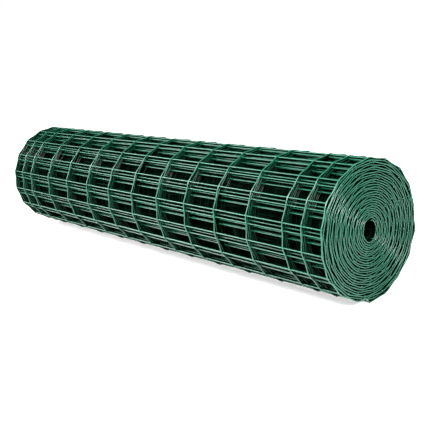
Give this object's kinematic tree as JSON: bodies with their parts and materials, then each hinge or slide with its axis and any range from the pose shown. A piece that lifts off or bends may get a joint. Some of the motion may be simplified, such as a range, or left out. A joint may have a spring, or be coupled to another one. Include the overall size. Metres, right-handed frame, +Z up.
{
  "type": "roll of welded wire fencing",
  "caption": "Rolled-up green coated welded wire mesh fencing lying on its side, for unrolling along fence posts.",
  "frame": {"origin": "on the floor below the roll's axis at mid length, on the underside of the middle line wire", "axes": "+X along the roll's axis towards the end that the picture shows, +Z up, +Y to the right as that end is faced"},
  "size_m": [1.2024, 0.2813, 0.2803],
  "materials": {
    "green_coating": "satin"
  },
  "bodies": {
    "root": {"mesh_roll": "green_coating"}
  },
  "joints": []
}
